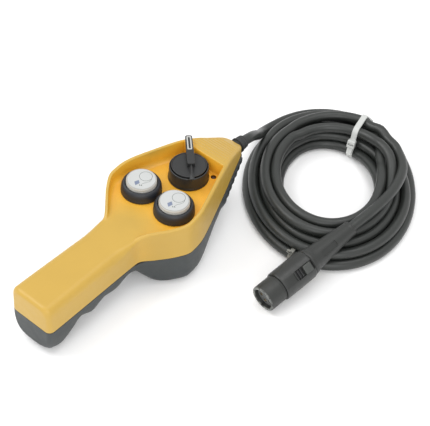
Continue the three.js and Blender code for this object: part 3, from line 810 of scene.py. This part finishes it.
def add_lamp():
    lens = lathe(
        (0, -3.2, 0), (1.9, -3.2, 0.1), (1.9, -0.1, 0.3), (1.4, 0.3, 0.5), (0, 0.45, 0),
        sides=40)
    piece("lamp_lens", moved(lens, at(*LAMP)), "lens", replaces=["indicator_lens"])


def add_grommet():
    sleeve = lathe(
        (4.3, -6, 0.1), (6, -6, 0.3), (6, -3.8, 0.1), (5.1, -3.8, 0), (5.1, 0.4, 0),
        (6.2, 0.4, 0.3), (6.2, 1.9, 0.5), (5.6, 2.6, 0.3), (5.6, 3.5, 0.2), (5.3, 3.8, 0.2),
        (5.3, 4.5, 0.2), (5.5, 4.8, 0.2), (5.4, 5.6, 0.2), (5.15, 5.9, 0.2), (5.15, 6.5, 0.2),
        (5.3, 6.8, 0.2), (5.1, 8, 0.4), (4.3, 8, 0.1),
        sides=48)
    return piece("entry_grommet", moved(sleeve, CABLE_ENTRY), "rubber",
                 replaces=["cable_grommet"])


# ---- the plug
def plug_shell():
    body = lathe(
        (8.3, 0, 0.2), (9.9, 0, 0.4), (10.3, 0.6, 0.5), (10.3, 13.6, 0.2), (10.05, 13.9, 0.1),
        (10.05, 14.4, 0.1), (10.2, 14.7, 0.1), (8.6, 14.7, 0), (8.6, 50, 0), (6.6, 50, 0),
        (6.6, 12, 0), (8.3, 12, 0.2),
        steps=3)
    keyway = soft_brick(7.6, 9.2, -1.3, 1.3, -1, 10, 0.3)
    return carve(body, (CUT, keyway))


def coupling_sleeve():
    body = lathe(
        (8.9, 15.1, 0.1), (10.9, 15.1, 0.3), (11.35, 15.8, 0.6), (11.4, 27, 0), (11.4, 43, 0.7),
        (11, 43.9, 0.3), (8.9, 43.9, 0.1),
    )
    flat = soft_brick(10.85, 14, -5.4, 5.4, 12, 27.4, 0.5)
    window = soft_brick(9.3, 14, -3.7, 3.7, 27.4, 43.4, 0.4)
    lip = soft_brick(10.4, 11.75, -3.5, 3.5, 26.3, 27.2, 0.3)
    return carve(body, (CUT, flat), (CUT, window), (ADD, lip))


def latch_slide():
    return soft_brick(9.6, 12.6, -3.3, 3.3, 34.4, 41.2, 0.5)


def latch_tongue_painted_shade():
    """The ribbed front of the latch, sunk in its window, made black as painted shade for the shadow
    in the window.
    """
    shape = soft_brick(9.6, 10, -3.3, 3.3, 27.7, 34.2, 0.15)
    for low in (28.9, 31.5):
        shape = carve(shape, (ADD, soft_brick(9.8, 11.3, -3.2, 3.2, low, low + 0.9, 0.3)))
    return shape


def plug_boot():
    body = lathe(
        (8.9, 44.3, 0.1), (10.3, 44.3, 0.4), (10.6, 45.2, 0.6), (10.4, 47, 0.8), (9.5, 49.6, 1.2),
        (9.1, 53, 1), (6, 87.6, 0.5), (6.15, 88.4, 0.3), (6.1, 90, 0.4), (5.6, 90.5, 0.3),
        (4.3, 90.5, 0.1), (4.3, 62, 0), (8.9, 51, 0),
    )
    tilt = Matrix.Rotation(-atan(3.1 / 34.6), 4, "Y")
    recess = moved(soft_brick(-1.05, 4, -2.6, 2.6, -7.5, 7.5, 0.5), at(8.2, 0, 63) @ tilt)
    return carve(body, (CUT, recess))


def plug_piece(name, shape, look, body="housing", replaces=(),
               place=SLEEVE_FRAME):
    return piece(name, moved(shape, place), look, body, replaces)


def add_plug():
    """The plug's new pieces, and the CAD ones that stay."""
    stay = ["plug_insert", *(f"plug_contact_{i}" for i in range(1, 6))]
    return [
        plug_piece("plug_body", plug_shell(), "plug_nose", replaces=["plug_shell"],
                   place=PLUG_FRAME),
        plug_piece("coupling_sleeve", coupling_sleeve(), "plug", "coupling",
                   ["plug_coupling_ring"]),
        plug_piece("latch_slide", latch_slide(), "latch", "latch", ["plug_latch"]),
        # The latch's sunken front takes the black knob look as painted shade, the shadow in the
        # latch's window.
        plug_piece("latch_tongue_painted_shade", latch_tongue_painted_shade(), "knob", "latch"),
        plug_piece("bend_relief", plug_boot(), "boot", replaces=["plug_boot"]),
        *(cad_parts[name] for name in stay),
    ]


# ---- the cable ties
def coil_angle(point):
    """A point's angle on the coil's oval, and its place from the centre."""
    away = Vector(point[:2]) - Vector(COIL_CENTRE)
    x = away.x * cos(COIL_TURN) + away.y * sin(COIL_TURN)
    y = away.y * cos(COIL_TURN) - away.x * sin(COIL_TURN)
    return atan2(y / COIL_ACROSS, x / COIL_ALONG), away


def add_tie(route):
    """The nylon tie, drawn tight round the strands where it crosses them."""
    outward = Vector(coil_point(TIE_ANGLE, TIE_REACH, 0)[:2]) - Vector(COIL_CENTRE)
    outward.normalize()
    strands = []
    for a, b in zip(route, route[1:]):
        (first, away), (second, beyond) = coil_angle(a), coil_angle(b)
        if first > TIE_ANGLE >= second and first - second < 1:
            share = (first - TIE_ANGLE) / (first - second)
            middle = away.lerp(beyond, share)
            strands.append(Vector((middle.dot(outward), a[2] + (b[2] - a[2]) * share - TABLE)))
    across = Vector((-outward.y, outward.x, 0))
    centre = Vector((*COIL_CENTRE, TABLE))

    def place(point, shift):
        return centre + Vector((*(outward * point[0]), point[1])) + across * shift

    def loop(reach, lowest, count=96):
        """A line drawn tight round the strands, in their section."""
        line = []
        for angle in circle(count):
            facing = Vector((cos(angle), sin(angle)))
            touch = max(strands, key=lambda s: s.dot(facing)) + reach * facing
            line.append(Vector((touch.x, max(touch.y, lowest))))
        return line

    inside, outside = loop(CABLE_RADIUS + 0.1, 1.25), loop(CABLE_RADIUS + 1.3, 0.1)
    half = 2.3  # the band's width
    rings = []
    for inner, outer in zip(inside, outside):
        shaved = outer.lerp(inner, 0.25)
        rings.append([place(*spot) for spot in (
            (inner, -half), (inner, half), (shaved, half), (outer, half - 0.4),
            (outer, 0.4 - half), (shaved, -half))])
    band = loft(rings, closed=True)

    # The head sits where the band comes down on the coil's inner side.
    above, below = next(pair for pair in zip(outside, outside[1:])
                        if pair[0].y > HEAD_HEIGHT >= pair[1].y)
    seat = above.lerp(below, (above.y - HEAD_HEIGHT) / (above.y - below.y))
    fall = (below - above).normalized()
    up = Vector((fall.y, -fall.x))
    base = Matrix((
        (outward.x * up.x, across.x, outward.x * up.y, 0),
        (outward.y * up.x, across.y, outward.y * up.y, 0),
        (up.y, 0, -up.x, 0),
        (0, 0, 0, 1),
    ))
    head_at = Matrix.Translation(place(seat, 0)) @ base
    head = soft_brick(-1.1, 3.4, -3.2, 3.2, -3.2, 3.2, 0.7)
    slot_cut = soft_brick(-2, 4.5, -2.3, 2.3, -0.9, 0.9, 0.3)
    strap = soft_brick(-1, 2.6, -2.1, 2.1, -0.6, 0.5, 0.2)
    head = carve(head, (CUT, slot_cut), (ADD, strap))
    stub = loft([[(x + d, w * side, z) for side, d in ((1, -t), (1, t), (-1, t), (-1, -t))]
                 for x, w, t, z in ((2.1, 2.1, 0.55, -2.8), (2.2, 2.1, 0.55, -4.5),
                                    (2.6, 2.1, 0.55, -6.5), (3.2, 1.9, 0.5, -8),
                                    (3.5, 1.2, 0.45, -8.6))])
    tie = carve(band, (ADD, moved(head, head_at)), (ADD, moved(stub, head_at)))
    return piece("coil_tie", tie, "nylon", replaces=["cable_tie"])


SMALL_TIE_AT = (54, -82, TABLE + CABLE_RADIUS)  # the cable's nearest point takes it


def add_small_tie(route):
    """A second, shorter tie on the lowest outer strand, beside the plug."""
    nearest = int(norm(route - np.array(SMALL_TIE_AT), axis=1).argmin())
    here = Vector(route[nearest])
    run = (Vector(route[nearest + 1]) - Vector(route[nearest - 1])).normalized()
    up = Vector((0, 0, 1))
    side = run.cross(up).normalized()
    if side.dot(here - Vector((*COIL_CENTRE, here.z))) < 0:
        side = -side
    inner, outer, half = 4.1, 5.1, 1.5
    rings = []
    for angle in circle(40):
        facing = side * cos(angle) + up * sin(angle)
        ring = []
        for reach, shift in ((inner, -half), (inner, half), (outer, half), (outer, -half)):
            point = here + facing * reach + run * shift
            point.z = max(point.z, TABLE + 0.08 + (outer - reach) * 0.5)
            ring.append(point)
        rings.append(ring)
    band = loft(rings, closed=True)
    lift = (side * 0.55 + up * 0.83).normalized()

    def block(w, t, heights):
        """A straight bar up from the band."""
        return loft([[here + lift * d + run * a + side * b
                      for a, b in ((-w, -t), (w, -t), (w, t), (-w, t))] for d in heights])

    head, tail = block(2.2, 1.6, (4.3, 8.1)), block(half, 0.5, (4.4, 8, 11.5))
    tie = carve(band, (ADD, head), (ADD, tail))
    return piece("small_tie", tie, "grey_nylon")


# ---- materials of what stays CAD
def dress_the_rest():
    sides = ("button_left", "button_right")
    looks = {
        "rubber": ["housing_gasket", "selector_seal", *(f"{s}_seal" for s in sides)],
        "steel": [*(f"housing_screw_{i}" for i in range(1, 7)), "cable_clamp_bar",
                  "cable_clamp_screw_1", "cable_clamp_screw_2", *(f"{s}_spring" for s in sides)],
        "knob": ["selector_nut", *(f"{s}_nut" for s in sides)],
        "moulding": ["selector_contact_block", "selector_shaft", "plug_insert",
                     *(f"{s}_{part}" for s in sides for part in ("plunger", "contact_block"))],
        "disc": ["indicator_led"],
        "brass": [f"plug_contact_{i}" for i in range(1, 6)],
        **{f"wire_{wire}": [f"lead_{wire}"] for wire in WIRES},
    }
    for look, names in looks.items():
        for name in names:
            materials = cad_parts[name].data.materials
            materials.clear()
            materials.append(LOOK[look])


# ---- the cable's route
def smooth_route(points, step):
    """Points along a smooth line through the given ones, about step apart."""
    p = np.array(points, float)
    p = np.vstack([2 * p[0] - p[1], p, 2 * p[-1] - p[-2]])
    route = []
    for i in range(1, len(p) - 2):
        count = max(1, round(norm(p[i + 1] - p[i]) / step))
        for k in range(count):
            t = k / count
            route.append(0.5 * (2 * p[i] + (p[i + 1] - p[i - 1]) * t
                         + (2 * p[i - 1] - 5 * p[i] + 4 * p[i + 1] - p[i + 2]) * t * t
                         + (3 * p[i] - 3 * p[i + 1] + p[i + 2] - p[i - 1]) * t ** 3))
    route.append(p[-2])
    return np.array(route)


def coil_point(angle, reach, height):
    """A point of the oval coil: reach is from its centre, and height is above the table."""
    x = COIL_ALONG / COIL_REACH * reach * cos(angle)
    y = COIL_ACROSS / COIL_REACH * reach * sin(angle)
    return (COIL_CENTRE[0] + x * cos(COIL_TURN) - y * sin(COIL_TURN),
            COIL_CENTRE[1] + x * sin(COIL_TURN) + y * cos(COIL_TURN), TABLE + height)


# Each turn's place in the coil's section: its reach and its height above the table.
TURNS = [(76.5, 4), (72, 4), (64, 4), (55.5, 4), (46, 4), (47.5, 11.8), (57.8, 11.2), (69, 11.4),
         (48, 19.6), (57.5, 18.8), (61.6, 19.5)]
STEP = 3.0  # between the route's points
MEAN_TURN = 375  # a turn's length, to choose the number of points
LEAD_ANGLE = 40  # where on the oval, in degrees, the lead becomes the first turn
TAIL_ANGLE = -37  # and where the last turn becomes the tail
SHIFT_ZONE = (0.12, 0.42)  # the share of a turn in which it moves over to the next place
LAST_SHIFT = (0, 0.24)  # the same for the last, which is a part of a turn
LEAD_SLIP = 4.8  # how far the lead's end is drawn aside, between these two places
SLIP_ZONE = (122, 160)


def wound_turns():
    """The turns as wound, clockwise from above, each moving over to the next one's place."""
    whole = len(TURNS) - 2
    start = radians(LEAD_ANGLE)
    sweep = radians(LEAD_ANGLE - TAIL_ANGLE) + tau * whole
    count = int(MEAN_TURN * sweep / tau / STEP)
    points = []
    for i in range(1, count):
        swept = sweep * i / count
        k, part = divmod(swept / tau, 1)
        k = int(k)
        (reach, height), (next_reach, next_height) = TURNS[k], TURNS[k + 1]
        share = eased(part, *(LAST_SHIFT if k == whole else SHIFT_ZONE))
        sway = 0.7 * sin(swept + 2.1 * k) + 0.4 * sin(2 * swept + 1.3 * k)
        reach = reach + (next_reach - reach) * share + sway
        points.append(coil_point(start - swept, reach, height + (next_height - height) * share))
    return np.array(points)


def on_plug(s):
    """The point of the plug's axis s from its front."""
    return PLUG_FRONT + (PLUG_BACK - PLUG_FRONT) * (s / PLUG_LENGTH)


def lay_down(points, fixed, rounds=260):
    """Lets the cable settle: it sinks, its turns push each other apart, and bends even out."""
    sink, stay_aside, stay_up = 0.04, 0.985, 0.995  # a round's sinking, and what stays of a shift
    even_out, push_share, largest_push = 0.3, 0.4, 0.8
    band, band_reach = 1.3, 14  # the tie's band lifts the cable off the table, this far around
    home = points.copy()
    free = ~fixed
    wide = 2 * CABLE_RADIUS + 0.05
    spread = range(0, 92, 3)
    plug = np.array([on_plug(s) for s in spread])
    # The plug keeps the turns off by its ring's radius, then by its tapering boot's.
    girth = np.array([11.6 if s < 50 else 9.8 - 0.11 * (s - 50) for s in spread])
    tie = np.array(coil_point(TIE_ANGLE, TIE_REACH, 0)[:2]) - COIL_CENTRE
    tie /= norm(tie)
    rows = np.arange(len(points))
    for number in range(rounds):
        if number % 12 == 0:  # the close pairs are looked up afresh now and then
            gaps = norm(points[:, None] - points[None], axis=2)
            near = (gaps < wide + 5) & (rows[None] - rows[:, None] > 3 * wide / STEP)
            first, second = np.nonzero(near)
        shift = points - home
        shift[:, :2] *= stay_aside
        shift[:, 2] = stay_up * shift[:, 2] - sink
        for reach in (1, 5):
            even = (shift[:-2 * reach] + shift[2 * reach:]) / 2
            shift[reach:-reach] += even_out * (even - shift[reach:-reach])
        points[free] = (home + shift)[free]
        for _ in range(3):
            apart = points[second] - points[first]
            gap = np.maximum(norm(apart, axis=1), 1e-6)
            push = np.maximum(0, wide - gap)[:, None] * apart / gap[:, None] * push_share
            move = np.zeros_like(points)
            np.add.at(move, first, -push)
            np.add.at(move, second, push)
            points[free] += np.clip(move, -largest_push, largest_push)[free]
            away = points[:, None] - plug[None]
            gap = norm(away, axis=2)
            short = np.maximum(0, girth + CABLE_RADIUS - gap)
            worst = short.argmax(axis=1)
            out = away[rows, worst] / gap[rows, worst][:, None]
            points[free] += (short[rows, worst][:, None] * out * 0.5)[free]
            off = points[:, :2] - COIL_CENTRE
            aside = np.where(off @ tie > 0, off[:, 0] * tie[1] - off[:, 1] * tie[0], 99)
            floor = TABLE + CABLE_RADIUS + band * np.exp(-(aside / band_reach) ** 2)
            points[free, 2] = np.maximum(points[free, 2], floor[free])
    return points


def cable_route():
    """Points along the whole cable."""
    lead = smooth_route(LEAD_PATH, STEP)
    lead[:, 1] -= [LEAD_SLIP * eased(x, *SLIP_ZONE) for x in lead[:, 0]]
    tail = smooth_route(TAIL_PATH, STEP)
    points = np.vstack([lead, wound_turns(), tail])
    order = np.arange(len(points))
    # Only the lead's last points and the tail's first ones settle with the turns.
    fixed = (order < len(lead) - 8) | (order >= len(points) - len(tail) + 10)
    return lay_down(points, fixed)


def add_cable(route):
    """The cable as a round curve through every third point, and its length in metres."""
    data = bpy.data.curves.new("cable", "CURVE")
    data.dimensions = "3D"
    data.bevel_depth = CABLE_RADIUS * MM
    data.bevel_resolution = 5
    data.resolution_u = 3
    data.use_fill_caps = True
    spline = data.splines.new("BEZIER")
    picked = np.vstack([route[:-1:3], route[-1:]])
    knots = [TO_FRAME @ Vector(p) for p in picked]
    spline.bezier_points.add(len(knots) - 1)
    for i, point in enumerate(spline.bezier_points):
        before, after = knots[max(0, i - 1)], knots[min(len(knots) - 1, i + 1)]
        point.co = knots[i]
        point.handle_left = knots[i] - (after - before) / 6
        point.handle_right = knots[i] + (after - before) / 6
    cable = put("cable", data)
    data.materials.append(LOOK["jacket"])
    settle_in(cable, "housing", ("cable_lead", "cable_coil", "cable_tail"))
    length = float(norm(np.diff(route, axis=0), axis=1).sum()) * MM
    return cable, length


# ---- the looks
WORN_EDGE = (0.17, 0.18, 0.17)


def plug_nose_look(colour):
    """Plug plastic, worn pale along the front edge."""
    s = Surface("plug_nose")
    way = s.add("VectorMath")
    way.operation = "DOT_PRODUCT"
    way.inputs[1].default_value = PLUG_AXIS
    s.join(s.place, way.inputs[0])
    start = (TO_FRAME @ PLUG_FRONT).dot(PLUG_AXIS)
    depth = s.math("SUBTRACT", way.outputs["Value"], start)
    edge = s.spread(depth, 1, 0, 0.1 * MM, 1.1 * MM)
    worn = s.math("MULTIPLY", edge, s.spread(s.noise(260, 5, 0.7), 0, 1, 0.38, 0.56), clamp=True)
    base = s.blend(s.spread(s.noise(60, 4), 0, 1), shade(colour, 0.85), shade(colour, 1.15))
    s.join(s.blend(worn, base, WORN_EDGE), s.shader.inputs["Base Color"])
    s.join(s.spread(s.noise(240, 6, 0.7), 0.4, 0.62), s.shader.inputs["Roughness"])
    s.join(s.bump(s.noise(1400, 4), 0.6, 0.06 * MM), s.shader.inputs["Normal"])
    return s.material


# Each plastic: its material's name, colour, roughness, tint and grain.
PLASTICS = {
    "slate": ("slate_moulding", (0.033, 0.0385, 0.0395), 0.5, 0.08, 0.04),
    "collar": ("collar_black", (0.012, 0.014, 0.019), 0.5, 0.12, 0.03),
    "knob": ("knob_black", (0.016, 0.0165, 0.017), 0.44, 0.12, 0.035),
    "cap": ("cap_white", (0.40, 0.39, 0.36), 0.3, 0.03, 0.008),
    "disc": ("disc_white", (0.45, 0.46, 0.455), 0.34, 0.05, 0.006),
    "ink": ("ink_dark", (0.05, 0.07, 0.06), 0.5, 0.3, 0.004),
    "blue_ink": ("ink_blue", (0.15, 0.18, 0.26), 0.5, 0.25, 0.004),
    "marker": ("marker_white", (0.42, 0.42, 0.40), 0.45, 0.05, 0.008),
    "lens": ("smoked_brown", (0.03, 0.008, 0.004), 0.12, 0.2, 0.002),
    "rubber": ("rubber_black", (0.02, 0.021, 0.021), 0.62, 0.15, 0.05),
    "plug": ("plug_moulding", (0.0185, 0.020, 0.0185), 0.4, 0.15, 0.05),
    "latch": ("latch_moulding", (0.052, 0.056, 0.052), 0.42, 0.12, 0.03),
    "boot": ("boot_rubber", (0.0175, 0.019, 0.0175), 0.46, 0.15, 0.05),
    "jacket": ("cable_jacket", (0.021, 0.0235, 0.0215), 0.4, 0.12, 0.02),
    "nylon": ("nylon_white", (0.48, 0.49, 0.475), 0.38, 0.05, 0.012),
    "grey_nylon": ("nylon_grey", (0.2, 0.2, 0.18), 0.45, 0.1, 0.02),
    "moulding": ("grey_moulding", (0.075, 0.078, 0.076), 0.5),
}
WIRES = {"brown": (0.12, 0.045, 0.02), "blue": (0.02, 0.08, 0.32), "black": (0.012, 0.012, 0.012),
         "grey": (0.2, 0.21, 0.22)}
LOOK = {look: plastic(*row) for look, row in PLASTICS.items()}
LOOK |= {f"wire_{wire}": plastic(f"wire_{wire}", colour, 0.45) for wire, colour in WIRES.items()}
# Painted light: in the yellow's hollows the colour turns to a brighter, more saturated orange,
# standing in for light bounced round the recesses.
LOOK["yellow"] = plastic("yellow_moulding", (0.46, 0.288, 0.046), 0.42, tint=0.03, grain=0.02,
                         recess=(0.90, 0.45, 0.03))
LOOK["steel"] = metal("zinc_steel", (0.6, 0.61, 0.62), 0.32)
LOOK["brass"] = metal("contact_brass", (0.72, 0.55, 0.25), 0.28)
LOOK["plug_nose"] = plug_nose_look((0.02, 0.0215, 0.0195))

add_camera()
add_studio()
add_housing()
add_button("left", BUTTON_Y)
add_button("right", -BUTTON_Y)
add_selector()
add_lamp()
route = cable_route()
cable, cable_length = add_cable(route)
lying = [add_grommet(), *add_plug(), add_tie(route), add_small_tie(route)]
dress_the_rest()
